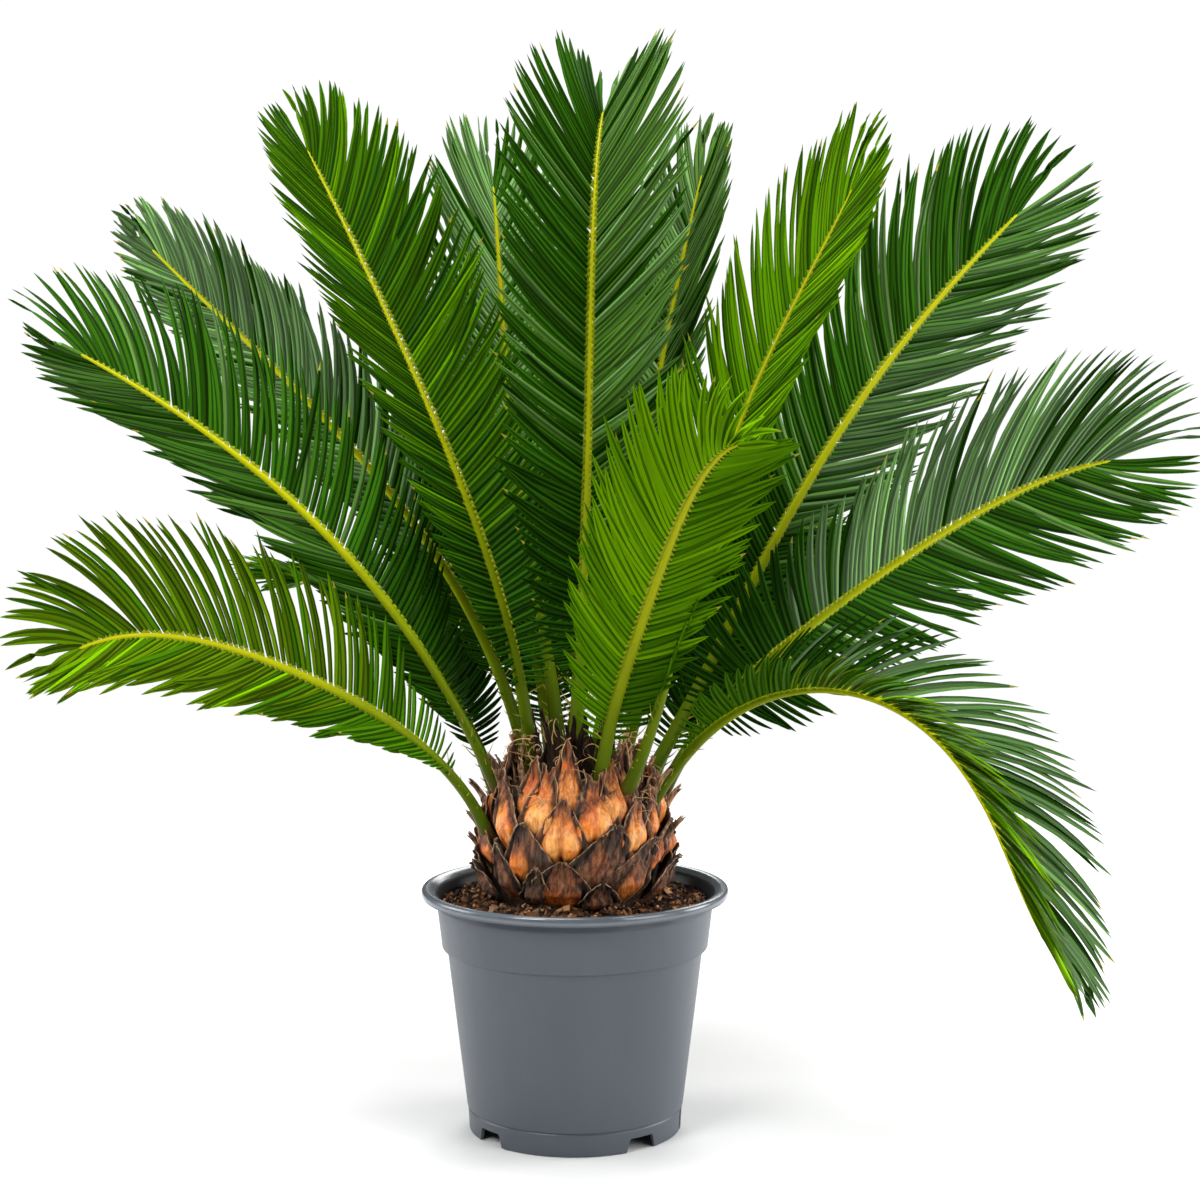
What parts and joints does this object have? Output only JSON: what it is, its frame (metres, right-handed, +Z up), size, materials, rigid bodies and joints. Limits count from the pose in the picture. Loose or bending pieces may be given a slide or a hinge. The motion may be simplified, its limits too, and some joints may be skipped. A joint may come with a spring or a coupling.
{
  "type": "potted sago palm",
  "caption": "Sago palm in a round grey nursery pot: a short scaly trunk under a rosette of stiff arching fronds, each a rib with narrow leaflets on both sides.",
  "frame": {"origin": "centre of the pot's flat underside, at the level it stands on", "axes": "+Z up along the pot's axis, -Y towards the front view, +X to the right, along which the crown spreads widest"},
  "size_m": [1.0431, 0.893, 0.971],
  "materials": {
    "pot_plastic": "satin slate grey moulded plastic",
    "potting_soil": "rough dark bark compost",
    "leaf_base_bark": "dry leaf bases, orange brown with dark edges",
    "frond_green": "waxy mid green leaf",
    "frond_deep_green": "waxy dark green leaf",
    "frond_bright_green": "waxy yellow green leaf, seen from its underside"
  },
  "bodies": {
    "root": {"pot": "pot_plastic", "soil": "potting_soil", "trunk": "leaf_base_bark", "frond_front": "frond_bright_green", "frond_arch_stalk": "frond_deep_green", "frond_arch_tip": "frond_deep_green", "frond_low_left": "frond_green", "frond_wide_left": "frond_green", "frond_bright_right": "frond_bright_green", "frond_wide_right": "frond_deep_green", "frond_tall_right": "frond_deep_green", "frond_tall_left": "frond_green", "frond_centre": "frond_green", "frond_shaded_left": "frond_deep_green", "frond_back_right": "frond_deep_green", "frond_back_left": "frond_deep_green", "frond_low_right": "frond_green", "frond_rear_low": "frond_green", "frond_rear_right": "frond_green", "frond_rear_left": "frond_green", "frond_rear_tall": "frond_green"}
  },
  "joints": []
}
